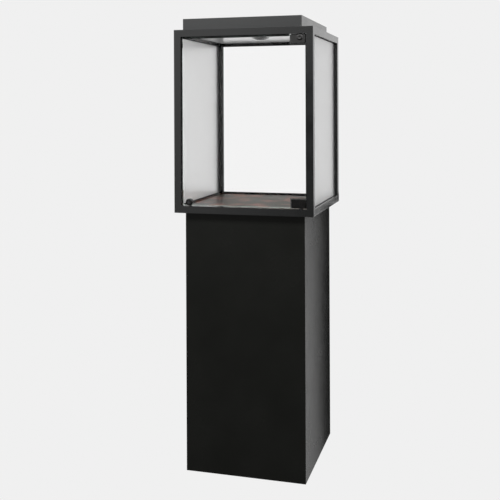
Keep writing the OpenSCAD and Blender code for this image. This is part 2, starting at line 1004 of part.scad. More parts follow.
module lamp_lead() {
    back = min(driver_x - driver_l / 2, -sink_d / 2) - 3 * lead_bend;
    color("#e8e8e8")
        lead([
            [driver_x - driver_l / 2, driver_y, driver_z],
            [back, driver_y, driver_z],
            [back, 0, driver_z],
            [-sink_d / 2, 0, driver_z]
        ]);
}

// Mirrors an upper hinge piece to the lower hinge and keeps both
module both_hinges() {
    children();
    translate([0, 0, 2 * door_z + door_h])
        mirror([0, 0, 1])
            children();
}

// Outline of a hinge plate seen from above, from its y = 0 face forward by t
module plate_plan(w, t) {
    r = min(hinge_round, t - 0.5);
    intersection() {
        translate([-w, -t])
            square([w, t]);
        union() {
            translate([-w + r, -t + r])
                circle(r);
            translate([-r, -t + r])
                circle(r);
            translate([-w + r, -t])
                square([w - 2 * r, t]);
            translate([-w, -t + r])
                square([w, t - r]);
        }
    }
}

// Screw places of the upper hinge: one in the glass, one in the web
hinge_top = door_z + door_h;
hinge_right = pivot_x + pivot_inset;
screw_drop = hinge_h - 8;
glass_screw_x = hinge_right - hinge_w + 9;
web_screw_x = hinge_right - 7;
web_screw_drop = notch_h - web_play - 5.5;
module at_clamp_screws() {
    translate([glass_screw_x, 0, hinge_top - screw_drop])
        children();
    translate([web_screw_x, 0, hinge_top - web_screw_drop])
        children();
}

module clamp_bores(d, y0, y1) {
    at_clamp_screws()
        translate([0, y0, 0])
            rotate([-90, 0, 0])
                cylinder(h = y1 - y0, d = d, $fn = 32);
}

// Tempered glass door, its hinge corners and lock notch cut out
module door_glass() {
    color([0.85, 0.9, 0.9, 0.4])
        difference() {
            translate([-door_w / 2, door_y, door_z])
                cube([door_w, door_t, door_h]);
            both_hinges() {
                translate([hinge_right - notch_w, door_y - eps, hinge_top - notch_h])
                    cube([2 * notch_w, door_t + 2 * eps, 2 * notch_h]);
                translate([glass_screw_x, door_y - eps, hinge_top - screw_drop])
                    rotate([-90, 0, 0])
                        cylinder(h = door_t + 2 * eps, d = clamp_hole_d, $fn = 32);
            }
            translate([lock_x, door_y - eps, lock_z])
                rotate([-90, 0, 0])
                    cylinder(h = door_t + 2 * eps, r = barrel_d / 2 + notch_play);
            translate([lock_x - barrel_d / 2 - notch_play, door_y - eps, door_z - lock_d])
                cube([barrel_d + 2 * notch_play, door_t + 2 * eps, lock_z - door_z + lock_d]);
        }
}

// Rubber strip that the door closes against, its tongue pressed into the upper rail
stop_play = 0.3;
stop_seat = 3;
stop_end = 3;
stop_y = door_y + door_t + stop_play;
stop_left = -in_w / 2;
stop_len = hinge_right - hinge_w - pad_show - stop_end - stop_left;
module door_stop() {
    color("#151515") {
        translate([stop_left, stop_y, lintel_z - stop_h])
            cube([stop_len, stop_t, stop_h]);
        translate([stop_left, stop_y + stop_t / 3, lintel_z - eps])
            cube([stop_len, stop_t / 3, stop_seat + eps]);
    }
}

// Front plate and web in one casting; the web fills the glass's cut corner and holds the pin
module hinge_bodies() {
    color("#141414")
        both_hinges()
            difference() {
                union() {
                    translate([hinge_right, door_y - pad_t, hinge_top - hinge_h])
                        linear_extrude(hinge_h)
                            plate_plan(hinge_w, hinge_front_t);
                    translate([hinge_right - notch_w + web_play, door_y - pad_t - eps,
                               hinge_top - notch_h + web_play])
                        cube([notch_w - web_play, web_t + eps, notch_h - web_play]);
                }
                clamp_bores(clamp_screw_d, door_y - pad_t - hinge_front_t / 2, door_y + 2 * web_t);
                translate([pivot_x, door_mid_y, hinge_top - notch_h])
                    cylinder(h = 2 * notch_h, d = pin_d);
            }
}

module hinge_back_plates() {
    color("#141414")
        both_hinges()
            difference() {
                translate([hinge_right - hinge_w, door_y + door_t + pad_t, hinge_top - hinge_h])
                    mirror([0, 1, 0])
                        translate([hinge_w, 0, 0])
                            linear_extrude(hinge_h)
                                plate_plan(hinge_w, hinge_back_t);
                clamp_bores(clamp_screw_d, door_y, door_y + 4 * web_t);
            }
}

// Clear pads between plates and glass, cut round the web
module hinge_pads() {
    color([0.8, 0.82, 0.8, 0.7])
        both_hinges()
            for (y = [door_y - pad_t, door_y + door_t])
                difference() {
                    translate([hinge_right - hinge_w - pad_show, y,
                               hinge_top - hinge_h - pad_show])
                        cube([hinge_w + pad_show, pad_t, hinge_h + pad_show]);
                    translate([hinge_right - notch_w, y - eps, hinge_top - notch_h])
                        cube([2 * notch_w, pad_t + 2 * eps, 2 * notch_h]);
                    clamp_bores(clamp_screw_d, y - 1, y + 2 * pad_t);
                }
}

module hinge_pins() {
    color("silver")
        both_hinges()
            translate([pivot_x, door_mid_y, hinge_top - notch_h + web_play + 2])
                cylinder(h = notch_h - web_play - 2 + door_gap + pin_reach, d = pin_d);
}

// Socket screws from behind: two in each hinge
module hinge_screws() {
    back = door_y + door_t + pad_t + hinge_back_t;
    front = door_y - pad_t - hinge_front_t / 2;
    color("dimgray")
        both_hinges()
            at_clamp_screws()
                translate([0, front, 0])
                    rotate([-90, 0, 0]) {
                        cylinder(h = back - front + eps, d = clamp_screw_d, $fn = 32);
                        translate([0, 0, back - front])
                            difference() {
                                cylinder(h = 2, d = 1.5 * clamp_screw_d, $fn = 32);
                                cylinder(h = 3, d = clamp_screw_d / 2, $fn = 6);
                            }
                    }
}

// Round adjuster of the upper pivot, on the front plate
module hinge_adjuster() {
    color("#2c2c2c")
        translate([pivot_x, door_y - pad_t - hinge_front_t, lintel_z - adjuster_play - adjuster_d / 2])
            rotate([90, 0, 0])
                difference() {
                    cylinder(h = adjuster_t, d1 = adjuster_d, d2 = adjuster_d - 2, $fn = 64);
                    translate([0, 0, adjuster_t - 1])
                        cylinder(h = 2, d = 6, $fn = 6);
                }
}

// Collared bushes in the rails, on the door's axis
module pivot_bushes() {
    collar_t = min(bush_collar_t, door_gap - 0.5);
    color("#202020")
        both_hinges()
            translate([pivot_x, door_mid_y, 0])
                difference() {
                    union() {
                        translate([0, 0, lintel_z - collar_t])
                            cylinder(h = collar_t, d = bush_collar_d);
                        translate([0, 0, lintel_z - eps])
                            cylinder(h = groove_depth + tube_wall, d = bush_d);
                    }
                    translate([0, 0, lintel_z - 2 * collar_t])
                        cylinder(h = 2 * profile, r = pin_d / 2 + running);
                }
}

// Round front and barrel of the lock, sitting in the glass's notch
module lock_body() {
    color("#121212")
        translate([lock_x, nut_back, lock_z])
            rotate([90, 0, 0])
                difference() {
                    union() {
                        cylinder(h = nut_back - door_y + eps, d = barrel_d);
                        translate([0, 0, nut_back - door_y])
                            cylinder(h = lock_proud - lock_bevel, d = lock_d, $fn = 64);
                        translate([0, 0, nut_back - lock_front - lock_bevel - eps])
                            cylinder(h = lock_bevel + eps, d1 = lock_d, d2 = lock_d - 2 * lock_bevel,
                                     $fn = 64);
                    }
                    translate([0, 0, -eps])
                        cylinder(h = nut_back - lock_front + 2 * eps, r = plug_d / 2 + running, $fn = 64);
                }
}

// Clear pad between the glass and the ring nut
module lock_pad() {
    color([0.8, 0.82, 0.8, 0.7])
        translate([lock_x, lock_back, lock_z])
            rotate([90, 0, 0])
                difference() {
                    cylinder(h = pad_t, r = nut_r + 1);
                    translate([0, 0, -1])
                        cylinder(h = pad_t + 2, d = barrel_d);
                }
}

// Ring nut on the barrel, with two slots for its spanner
module lock_nut() {
    color("#161616")
        translate([lock_x, nut_back, lock_z])
            rotate([90, 0, 0])
                difference() {
                    cylinder(h = nut_t, r = nut_r);
                    translate([0, 0, -1])
                        cylinder(h = nut_t + 2, d = barrel_d);
                    translate([-2 * nut_r, -nut_wall / 2, -nut_t / 2])
                        cube([4 * nut_r, nut_wall, nut_t]);
                }
}

// Turning plug: keyway in front, collar behind the barrel, square end for the cam
module lock_plug() {
    length = cam_y - lock_front - plug_sink;
    key_depth = 8;
    color("silver")
        translate([lock_x, cam_y, lock_z])
            rotate([90, 0, 0])
                difference() {
                    union() {
                        cylinder(h = length, d = plug_d, $fn = 64);
                        cylinder(h = cam_y - nut_back - collar_play, r = collar_r, $fn = 64);
                        translate([-cam_square / 2, -cam_square / 2, -cam_t])
                            cube([cam_square, cam_square, cam_t + eps]);
                    }
                    translate([-0.9, -plug_d / 2 + 1.5, length - key_depth])
                        cube([1.8, plug_d - 3, 2 * key_depth]);
                    translate([0, 0, -cam_t - eps])
                        cylinder(h = cam_screw_len + eps, d = cam_screw_d, $fn = 24);
                }
}

// Cam on the plug's square, drawn unlocked: a quarter turn brings it behind the keeper
module lock_cam() {
    color("#2a2a2a")
        translate([lock_x, cam_y + cam_t, lock_z])
            rotate([90, 0, 0])
                linear_extrude(cam_t)
                    difference() {
                        union() {
                            circle(d = plug_d);
                            translate([cam_w / 2 - cam_l, 0])
                                circle(d = cam_w);
                            translate([cam_w / 2 - cam_l, -cam_w / 2])
                                square([cam_l - cam_w / 2, cam_w]);
                        }
                        square(cam_square, center = true);
                    }
}

// Washer-head screw that holds the cam on the plug
module cam_screw() {
    color("silver")
        translate([lock_x, cam_y + cam_t, lock_z])
            rotate([-90, 0, 0]) {
                difference() {
                    cylinder(h = cam_head_t, d = cam_head_d, $fn = 32);
                    translate([0, 0, cam_head_t / 3])
                        cylinder(h = cam_head_t, d = cam_screw_d, $fn = 6);
                }
                translate([0, 0, -cam_screw_len])
                    cylinder(h = cam_screw_len + eps, d = cam_screw_d, $fn = 24);
            }
}

// Angle keeper on the lower rail, its foot pegged into the rail
module lock_keeper() {
    color("#1a1a1a") {
        translate([lock_x - keeper_w / 2, keeper_y, rail_top])
            cube([keeper_w, keeper_t, keeper_h]);
        translate([lock_x - keeper_w / 2, keeper_y - keeper_foot, rail_top])
            cube([keeper_w, keeper_foot + eps, keeper_foot_t]);
        translate([lock_x, keeper_peg_y, rail_top - keeper_peg_len])
            cylinder(h = keeper_peg_len + eps, d = keeper_peg_d, $fn = 24);
    }
}

floor_glides();
pedestal_base();
pedestal_top();
pedestal_front();
pedestal_rear();
pedestal_left();
pedestal_right();
corner_battens();
batten_screws();
power_inlet();
inlet_screws();
case_bolts();
case_base();
deck();
post_front_left();
post_front_right();
post_rear_left();
post_rear_right();
post_caps();
rail_lower_front();
rail_lower_rear();
rail_lower_left();
rail_lower_right();
rail_upper_front();
rail_upper_rear();
rail_upper_left();
rail_upper_right();
rail_plugs();
tie_screws();
pane_left();
pane_right();
pane_rear();
pane_gaskets();
roof_board();
ceiling();
hood();
hood_cleats();
hood_screws();
downlight_bezel();
downlight_lens();
downlight_body();
led_driver();
supply_lead();
lamp_lead();
door_glass();
door_stop();
hinge_bodies();
hinge_back_plates();
hinge_pads();
hinge_pins();
hinge_screws();
hinge_adjuster();
pivot_bushes();
lock_body();
lock_pad();
lock_nut();
lock_plug();
lock_cam();
cam_screw();
lock_keeper();
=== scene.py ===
# The looks of a pedestal display case: a black laminate column that carries a
# glazed case with a lit hood and a frameless glass door on two pivot hinges.
import json
import math

import bmesh
import bpy
from mathutils import Matrix, Vector


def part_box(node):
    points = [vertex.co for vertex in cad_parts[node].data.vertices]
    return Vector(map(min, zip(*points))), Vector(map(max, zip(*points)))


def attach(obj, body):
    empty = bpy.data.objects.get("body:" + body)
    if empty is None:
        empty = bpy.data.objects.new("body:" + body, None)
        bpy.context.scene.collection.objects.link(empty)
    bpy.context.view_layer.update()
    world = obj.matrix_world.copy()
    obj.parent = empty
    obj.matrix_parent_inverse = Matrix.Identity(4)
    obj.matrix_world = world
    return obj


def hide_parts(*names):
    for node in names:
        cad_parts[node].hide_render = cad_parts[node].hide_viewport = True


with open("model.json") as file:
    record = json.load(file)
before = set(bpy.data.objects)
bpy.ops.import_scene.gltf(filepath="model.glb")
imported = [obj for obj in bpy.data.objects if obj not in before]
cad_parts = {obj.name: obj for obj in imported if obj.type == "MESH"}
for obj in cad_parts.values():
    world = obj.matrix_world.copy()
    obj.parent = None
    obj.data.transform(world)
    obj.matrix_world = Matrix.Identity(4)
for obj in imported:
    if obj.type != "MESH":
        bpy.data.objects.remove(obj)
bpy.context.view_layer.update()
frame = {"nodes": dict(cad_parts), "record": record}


# ---- Camera -----------------------------------------------------------------
# A view camera with a level film plane, so that uprights stay upright. It stands
# to the right of the door, and a falling front takes in the column's foot.
CAMERA_PLACE = Vector((0.80933, -3.00835, 1.28668))
CAMERA_YAW = math.radians(15.805)
CAMERA_ROLL = math.radians(-0.237)
CAMERA_LENS = 60.01
FILM_WIDTH = 36
FRONT_FALL = 0.2857


def placed(name, data):
    """A new object in the scene that holds the given data."""
    made = bpy.data.objects.new(name, data)
    bpy.context.scene.collection.objects.link(made)
    return made


ahead = Vector((-math.sin(CAMERA_YAW), math.cos(CAMERA_YAW), 0))
sideways = Vector((math.cos(CAMERA_YAW), math.sin(CAMERA_YAW), 0))
upright = Vector((0, 0, 1))
tilted_side = sideways * math.cos(CAMERA_ROLL) + upright * math.sin(CAMERA_ROLL)
tilted_up = upright * math.cos(CAMERA_ROLL) - sideways * math.sin(CAMERA_ROLL)

camera_data = bpy.data.cameras.new("view_camera")
camera_data.lens = CAMERA_LENS
camera_data.sensor_width = FILM_WIDTH
camera_data.shift_y = -FRONT_FALL
camera = placed("view_camera", camera_data)
turn = Matrix((tilted_side, tilted_up, -ahead)).transposed()
camera.matrix_world = Matrix.Translation(CAMERA_PLACE) @ turn.to_4x4()
bpy.context.scene.camera = camera
bpy.context.scene.view_settings.view_transform = "Standard"


# ---- Room -------------------------------------------------------------------
# A pale seamless room, bright to the left, at the far right and overhead, dark in
# front. The left of its rear wall is clouded brown, rose and green above the
# horizon, and the deck mirrors that.
BACKDROP = 0.871
BACKDROP_THROUGH_GLASS = 0.896
FILL = 0.45

# Light of the two front walls: (sine of the height seen, level there) pairs.
FRONT_LEFT = [(-0.45, 0.08), (-0.30, 0.13), (-0.19, 0.26), (-0.13, 0.92), (-0.10, 0.72),
              (-0.075, 0.70), (-0.055, 1.05), (-0.015, 0.86), (0.02, 1.10), (0.056, 1.28),
              (0.09, 1.24), (0.13, 1.60), (0.20, 1.20), (0.45, 0.80)]
FRONT_RIGHT = [(-0.45, 0.04), (-0.16, 0.18), (-0.125, 0.48), (-0.09, 0.08), (0.009, 0.05),
               (0.02, 0.12), (0.038, 0.26), (0.056, 0.46), (0.085, 0.60), (0.11, 1.40),
               (0.20, 1.10), (0.45, 0.80)]
RAMP_SCALE = 2.0
RAMP_MIDDLE = 0.5

# Where one part of the room passes into the next, in the heading's own axes.
SIDE_TURN = (-0.290, -0.225)
FAR_SIDE_TURN = (0.24, 0.34)
FRONT_SEAM = (-0.05, 0.05)
REAR_SEAM = (-0.02, 0.02)
HORIZON = (-0.01, 0.01)
CEILING_RISE = (0.28, 0.50)
FAR_SIDE_RISE = (0.10, 0.20)

FAR_SIDE_GAIN = 1.8
REAR_LOW = 1.00
REAR_RIGHT = 1.02
CEILING_LIGHT = 4.0
NOISE_SPAN = (0.3, 0.7)
UNEVEN_LIGHT = (0.90, 1.10)
SMOKE_BROWN = (0.27, 0.26, 0.245, 1)
SMOKE_ROSE = (0.38, 0.22, 0.19, 1)
SMOKE_MOSS = (0.20, 0.235, 0.20, 1)
ROSE_SPAN = (0.42, 0.62)
MOSS_SPAN = (0.45, 0.65)


def nodes_of(owner):
    """An empty node tree of a material or a world."""
    owner.use_nodes = True
    owner.node_tree.nodes.clear()
    return owner.node_tree


def join(tree, source, target):
    """Links a socket, or gives the target a plain number or colour."""
    if isinstance(source, bpy.types.NodeSocket):
        tree.links.new(source, target)
    else:
        target.default_value = source


def calc(tree, kind, *terms):
    """A Math node on up to three sockets or numbers."""
    node = tree.nodes.new("ShaderNodeMath")
    node.operation = kind
    for term, socket in zip(terms, node.inputs):
        join(tree, term, socket)
    return node.outputs[0]


def blend_tones(tree, factor, first, second):
    """A colour between two tones; each is a colour or a socket."""
    mix = tree.nodes.new("ShaderNodeMix")
    mix.data_type = "RGBA"
    join(tree, factor, mix.inputs["Factor"])
    join(tree, first, mix.inputs[6])
    join(tree, second, mix.inputs[7])
    return mix.outputs[2]


def grey_tone(tree, level):
    """A grey of the given level, as a colour socket."""
    tone = tree.nodes.new("ShaderNodeCombineColor")
    for channel in tone.inputs:
        channel.default_value = level
    return tone.outputs[0]


def ranged(tree, value, start, end, low=0.0, high=1.0):
    """Maps start..end smoothly to low..high; the two last may be sockets."""
    node = tree.nodes.new("ShaderNodeMapRange")
    node.interpolation_type = "SMOOTHSTEP"
    join(tree, value, node.inputs["Value"])
    join(tree, start, node.inputs["From Min"])
    join(tree, end, node.inputs["From Max"])
    join(tree, low, node.inputs["To Min"])
    join(tree, high, node.inputs["To Max"])
    return node.outputs[0]


def noise(tree, place, scale, detail, stretch=(1, 1, 1)):
    """A noise value at a place, stretched along the axes."""
    mapping = tree.nodes.new("ShaderNodeMapping")
    mapping.inputs["Scale"].default_value = stretch
    join(tree, place, mapping.inputs["Vector"])
    texture = tree.nodes.new("ShaderNodeTexNoise")
    texture.inputs["Detail"].default_value = detail
    join(tree, scale, texture.inputs["Scale"])
    join(tree, mapping.outputs[0], texture.inputs["Vector"])
    return texture.outputs["Fac"]


def wall_light(tree, rise, levels):
    """The light of a wall at each height, from a list; the ramp holds it scaled down."""
    ramp = tree.nodes.new("ShaderNodeValToRGB")
    join(tree, calc(tree, "ADD", rise, RAMP_MIDDLE), ramp.inputs[0])
    while len(ramp.color_ramp.elements) < len(levels):
        ramp.color_ramp.elements.new(RAMP_MIDDLE)
    for stop, (height, level) in zip(ramp.color_ramp.elements, levels):
        stop.position = height + RAMP_MIDDLE
        stop.color = (level / RAMP_SCALE, level / RAMP_SCALE, level / RAMP_SCALE, 1)
    return calc(tree, "MULTIPLY", ramp.outputs[0], RAMP_SCALE)


def straight_view(tree, ray, most_bounces):
    """1 where the room is seen directly or through glass, 0 in mirrored and diffuse light."""
    looked = calc(tree, "MAXIMUM", ray.outputs["Is Camera Ray"], ray.outputs["Is Transmission Ray"])
    bounced = calc(tree, "SUBTRACT", ray.outputs["Ray Depth"], ray.outputs["Transmission Depth"])
    return calc(tree, "MULTIPLY", looked, calc(tree, "LESS_THAN", bounced, most_bounces))


def backdrop_level(tree, ray):
    """The backdrop's level, a little higher where glass dims it again."""
    return ranged(tree, ray.outputs["Is Camera Ray"], 0, 1, BACKDROP_THROUGH_GLASS, BACKDROP)


world = bpy.data.worlds.new("room")
bpy.context.scene.world = world
room = nodes_of(world)
ray = room.nodes.new("ShaderNodeLightPath")
heading = room.nodes.new("ShaderNodeTexCoord").outputs["Generated"]
split = room.nodes.new("ShaderNodeSeparateXYZ")
join(room, heading, split.inputs[0])
aside, away, rise = split.outputs

patches = noise(room, heading, scale=9.0, detail=3.0, stretch=(1, 1, 2))
uneven = ranged(room, patches, *NOISE_SPAN, *UNEVEN_LIGHT)
front_left = calc(room, "MULTIPLY", wall_light(room, rise, FRONT_LEFT), uneven)
front_right = calc(room, "MULTIPLY", wall_light(room, rise, FRONT_RIGHT), uneven)
front = ranged(room, aside, *SIDE_TURN, front_left, front_right)
far_gain = ranged(room, rise, *FAR_SIDE_RISE, FAR_SIDE_GAIN, 1.0)
far_side = calc(room, "MULTIPLY", front_left, far_gain)
front = ranged(room, aside, *FAR_SIDE_TURN, front, far_side)

rose_patches = noise(room, heading, scale=16.0, detail=3.0, stretch=(1, 1, 2.5))
smoke = blend_tones(room, ranged(room, rose_patches, *ROSE_SPAN), SMOKE_BROWN, SMOKE_ROSE)
moss_patches = noise(room, heading, scale=23.0, detail=2.0, stretch=(1, 1.3, 2.5))
smoke = blend_tones(room, ranged(room, moss_patches, *MOSS_SPAN), smoke, SMOKE_MOSS)
rear_left = blend_tones(room, ranged(room, rise, *HORIZON), grey_tone(room, REAR_LOW), smoke)
rear = blend_tones(room, ranged(room, aside, *REAR_SEAM), rear_left,
                   grey_tone(room, REAR_RIGHT))
walls = blend_tones(room, ranged(room, away, *FRONT_SEAM), front, rear)
mirrored_tone = blend_tones(room, ranged(room, rise, *CEILING_RISE), walls,
                            grey_tone(room, CEILING_LIGHT))

mirrored = calc(room, "GREATER_THAN", ray.outputs["Glossy Depth"], 0.5)
given_tone = blend_tones(room, mirrored, grey_tone(room, FILL), mirrored_tone)
seen = straight_view(room, ray, most_bounces=1.5)
room_light = room.nodes.new("ShaderNodeBackground")
join(room, blend_tones(room, seen, given_tone, backdrop_level(room, ray)),
     room_light.inputs["Color"])
join(room, room_light.outputs[0], room.nodes.new("ShaderNodeOutputWorld").inputs[0])


# ---- Floor, cards and softbox -----------------------------------------------
# A pale floor that runs into the backdrop. A softbox hangs above the camera and
# lights the fronts, and two dark cards behind the case only show as reflections.
FLOOR_FILL = 0.80
FLOOR_REACH = 8.0
CARD_Y = 0.46
CARD_GAP = 0.002
CARD_LEVEL = 0.01
DARK_CARD = [(-0.1, -2.0), (0.325, -2.0), (0.325, 0.875), (-0.1, 0.875)]
GREY_CARD = [(0.24, 0.926), (0.45, 0.778), (0.45, 0.818), (0.24, 0.954)]
SOFTBOX_WIDTH = 1.2
SOFTBOX_DEPTH = 0.8
SOFTBOX_POWER = 130
SOFTBOX_PLACE = (0.0, -2.0, 3.4)
SOFTBOX_TILT = math.radians(38.7)


def glow(name):
    """A material that only gives light, and its strength socket."""
    look = bpy.data.materials.new(name)
    tree = nodes_of(look)
    lamp = tree.nodes.new("ShaderNodeEmission")
    join(tree, lamp.outputs[0], tree.nodes.new("ShaderNodeOutputMaterial").inputs[0])
    return look, lamp.inputs["Strength"]


def sheet_at(name, corners, look):
    """A flat stage piece with the given corners."""
    bm = bmesh.new()
    bm.faces.new([bm.verts.new(corner) for corner in corners])
    mesh = bpy.data.meshes.new(name)
    bm.to_mesh(mesh)
    bm.free()
    mesh.materials.append(look)
    piece = placed(name, mesh)
    return piece


def mirrored_card(name, place, outline):
    """A card at a place on Y that only shows as a reflection; outline is (x, z) pairs."""
    look, strength = glow(name + "_cloth")
    strength.default_value = CARD_LEVEL
    card = sheet_at(name, [(x, place, z) for x, z in outline], look)
    card.visible_camera = False
    card.visible_transmission = False
    card.visible_diffuse = False
    card.visible_shadow = False


floor_look, strength = glow("pale_floor")
tree = floor_look.node_tree
ray = tree.nodes.new("ShaderNodeLightPath")
seen = straight_view(tree, ray, most_bounces=0.5)
join(tree, ranged(tree, seen, 0, 1, FLOOR_FILL, backdrop_level(tree, ray)), strength)
floor = sheet_at("floor", [(-FLOOR_REACH, -FLOOR_REACH, 0), (FLOOR_REACH, -FLOOR_REACH, 0),
                           (FLOOR_REACH, FLOOR_REACH, 0), (-FLOOR_REACH, FLOOR_REACH, 0)],
                 floor_look)
floor.visible_glossy = False
mirrored_card("dark_card", CARD_Y, DARK_CARD)
mirrored_card("grey_card", CARD_Y - CARD_GAP, GREY_CARD)

overhead_data = bpy.data.lights.new("overhead_softbox", "AREA")
overhead_data.shape = "RECTANGLE"
overhead_data.size = SOFTBOX_WIDTH
overhead_data.size_y = SOFTBOX_DEPTH
overhead_data.energy = SOFTBOX_POWER
overhead = placed("overhead_softbox", overhead_data)
overhead.location = SOFTBOX_PLACE
overhead.rotation_euler = (SOFTBOX_TILT, 0, 0)
overhead.visible_glossy = False
overhead.visible_transmission = False


# ---- Column panels ----------------------------------------------------------
# Four boards faced with fine-grained black laminate, their upright edges mitred
# and glued so that no joint shows, the arrises just broken with a fine file.
LAMINATE_DARK = (0.0068, 0.0070, 0.0062, 1)
LAMINATE_PALE = (0.0084, 0.0086, 0.0077, 1)
BROKEN_ARRIS = 0.0006
ARRIS_STEPS = 2
SHARP_EDGE = 50
CLOUD_SHARE = 0.65
GRAIN_SHARE = 0.35
PEBBLE_HEIGHT = 0.0002
DOUBLED = 1e-6
FLAT_WITHIN = math.radians(0.5)


def shader_group(name, inputs, outputs):
    """An empty shader node group; inputs are (name, default), outputs (name, kind)."""
    made = bpy.data.node_groups.new(name, "ShaderNodeTree")
    for label, default in inputs:
        kind = "NodeSocketColor" if isinstance(default, tuple) else "NodeSocketFloat"
        socket = made.interface.new_socket(name=label, in_out="INPUT", socket_type=kind)
        socket.default_value = default
    for label, kind in outputs:
        made.interface.new_socket(name=label, in_out="OUTPUT", socket_type=kind)
    return made, made.nodes.new("NodeGroupInput"), made.nodes.new("NodeGroupOutput")


def fine_skin():
    """Shared finish: a cloudy tone, uneven gloss and a fine pebbled surface."""
    made, given, out = shader_group(
        "fine_skin",
        [("Dark", (0.01, 0.01, 0.01, 1)), ("Light", (0.02, 0.02, 0.02, 1)), ("Cloud", 9.0),
         ("Pebble", 900.0), ("Smooth", 0.3), ("Rough", 0.4), ("Relief", 0.1)],
        [("Color", "NodeSocketColor"), ("Roughness", "NodeSocketFloat"),
         ("Normal", "NodeSocketVector")])
    place = made.nodes.new("ShaderNodeTexCoord").outputs["Object"]
    cloud = noise(made, place, given.outputs["Cloud"], detail=4.0)
    grain = noise(made, place, given.outputs["Pebble"], detail=2.0)
    both = calc(made, "MULTIPLY_ADD", grain, GRAIN_SHARE,
                calc(made, "MULTIPLY", cloud, CLOUD_SHARE))
    join(made, blend_tones(made, ranged(made, both, *NOISE_SPAN), given.outputs["Dark"],
                           given.outputs["Light"]), out.inputs["Color"])
    join(made, ranged(made, cloud, *NOISE_SPAN, given.outputs["Smooth"],
                      given.outputs["Rough"]), out.inputs["Roughness"])
    bump = made.nodes.new("ShaderNodeBump")
    bump.inputs["Distance"].default_value = PEBBLE_HEIGHT
    join(made, given.outputs["Relief"], bump.inputs["Strength"])
    join(made, grain, bump.inputs["Height"])
    join(made, bump.outputs["Normal"], out.inputs["Normal"])
    return made


FINE_SKIN = fine_skin()


def new_finish(name, **uniform):
    """A material with one Principled shader; uniform values go on its own sockets."""
    made = bpy.data.materials.new(name)
    tree = nodes_of(made)
    shader = tree.nodes.new("ShaderNodeBsdfPrincipled")
    join(tree, shader.outputs[0], tree.nodes.new("ShaderNodeOutputMaterial").inputs[0])
    for label, value in uniform.items():
        shader.inputs[label.replace("_", " ")].default_value = value
    return made, tree, shader


def skin_finish(name, dark, light, cloud, pebble, gloss, relief, ior):
    """A solid finish whose tone, gloss and relief come from the fine skin.

    Cloud and pebble are noise scales, gloss the roughness at its two ends."""
    made, tree, shader = new_finish(name, IOR=ior)
    skin = tree.nodes.new("ShaderNodeGroup")
    skin.node_tree = FINE_SKIN
    smooth, rough = gloss
    for label, value in (("Dark", dark), ("Light", light), ("Cloud", cloud),
                         ("Pebble", pebble), ("Smooth", smooth), ("Rough", rough),
                         ("Relief", relief)):
        skin.inputs[label].default_value = value
    join(tree, skin.outputs["Color"], shader.inputs["Base Color"])
    join(tree, skin.outputs["Roughness"], shader.inputs["Roughness"])
    join(tree, skin.outputs["Normal"], shader.inputs["Normal"])
    return made


def cover(finish, *names):
    """Gives CAD nodes one finish."""
    for name in names:
        for place in frame["nodes"][name].material_slots:
            place.material = finish


def body_and_slot(name):
    """The body that carries a CAD node, and the node's material slot in the record."""
    record = frame["record"]
    carrier = next(body for body, held in record["behaviour"]["bodies"].items() if name in held)
    slot = next(part["material_slot"] for part in record["subparts"] if part["node"] == name)
    return carrier, slot


def stand_in(piece, node, finish):
    """Puts a dressed piece in place of a CAD node, on the same body."""
    carrier, slot = body_and_slot(node)
    piece.data.materials.clear()
    piece.data.materials.append(finish)
    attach(piece, carrier)
    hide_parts(node)
    return piece


def merged(node):
    """A copy of a CAD node's mesh, its doubled corners and split flat faces joined."""
    mesh = frame["nodes"][node].data.copy()
    bm = bmesh.new()
    bm.from_mesh(mesh)
    bmesh.ops.remove_doubles(bm, verts=bm.verts, dist=DOUBLED)
    bmesh.ops.dissolve_limit(bm, angle_limit=FLAT_WITHIN, verts=bm.verts, edges=bm.edges)
    bm.to_mesh(mesh)
    bm.free()
    return mesh


def arris_on(piece, width, steps, sharp_edge):
    """Rounds the edges that turn by more than the given degrees."""
    arris = piece.modifiers.new("arris", "BEVEL")
    arris.width = width
    arris.segments = steps
    arris.limit_method = "ANGLE"
    arris.angle_limit = math.radians(sharp_edge)
    return arris


def eased(node, finish, width):
    """A merged copy of a CAD node whose hard edges are lightly rounded."""
    piece = placed(node + "_eased", merged(node))
    arris_on(piece, width, ARRIS_STEPS, SHARP_EDGE)
    return stand_in(piece, node, finish)


laminate = skin_finish("black_laminate", LAMINATE_DARK, LAMINATE_PALE, cloud=7.0,
                       pebble=1400.0, gloss=(0.22, 0.28), relief=0.12, ior=1.17)
for side in ("front", "rear", "left", "right"):
    eased("pedestal_" + side, laminate, BROKEN_ARRIS)


# ---- Column core ------------------------------------------------------------
# Particle-board base and top, pine battens up the corners, and zinc screws and bolts.
# The column stands on four black glides pressed into its base, and a black power inlet
# is set low in its back.
BOARD_DARK = (0.20, 0.125, 0.065, 1)
BOARD_PALE = (0.47, 0.33, 0.20, 1)
FLAKE_SCALE = 320
PINE_DARK = (0.42, 0.25, 0.11, 1)
PINE_PALE = (0.66, 0.47, 0.27, 1)
UPRIGHT_GRAIN = (1, 1, 0.04)
GLIDE_DARK = (0.0060, 0.0060, 0.0060, 1)
GLIDE_PALE = (0.0100, 0.0100, 0.0105, 1)
ZINC = (0.55, 0.56, 0.56, 1)
STREAK_SCALE = 400.0
STREAK_SHADE = 0.8

chipboard, tree, shader = new_finish("chipboard", Roughness=0.75)
chip_place = tree.nodes.new("ShaderNodeTexCoord").outputs["Object"]
flakes = tree.nodes.new("ShaderNodeTexVoronoi")
flakes.inputs["Scale"].default_value = FLAKE_SCALE
join(tree, chip_place, flakes.inputs["Vector"])
flake_tone = tree.nodes.new("ShaderNodeSeparateColor")
join(tree, flakes.outputs["Color"], flake_tone.inputs[0])
join(tree, blend_tones(tree, flake_tone.outputs[0], BOARD_DARK, BOARD_PALE),
     shader.inputs["Base Color"])


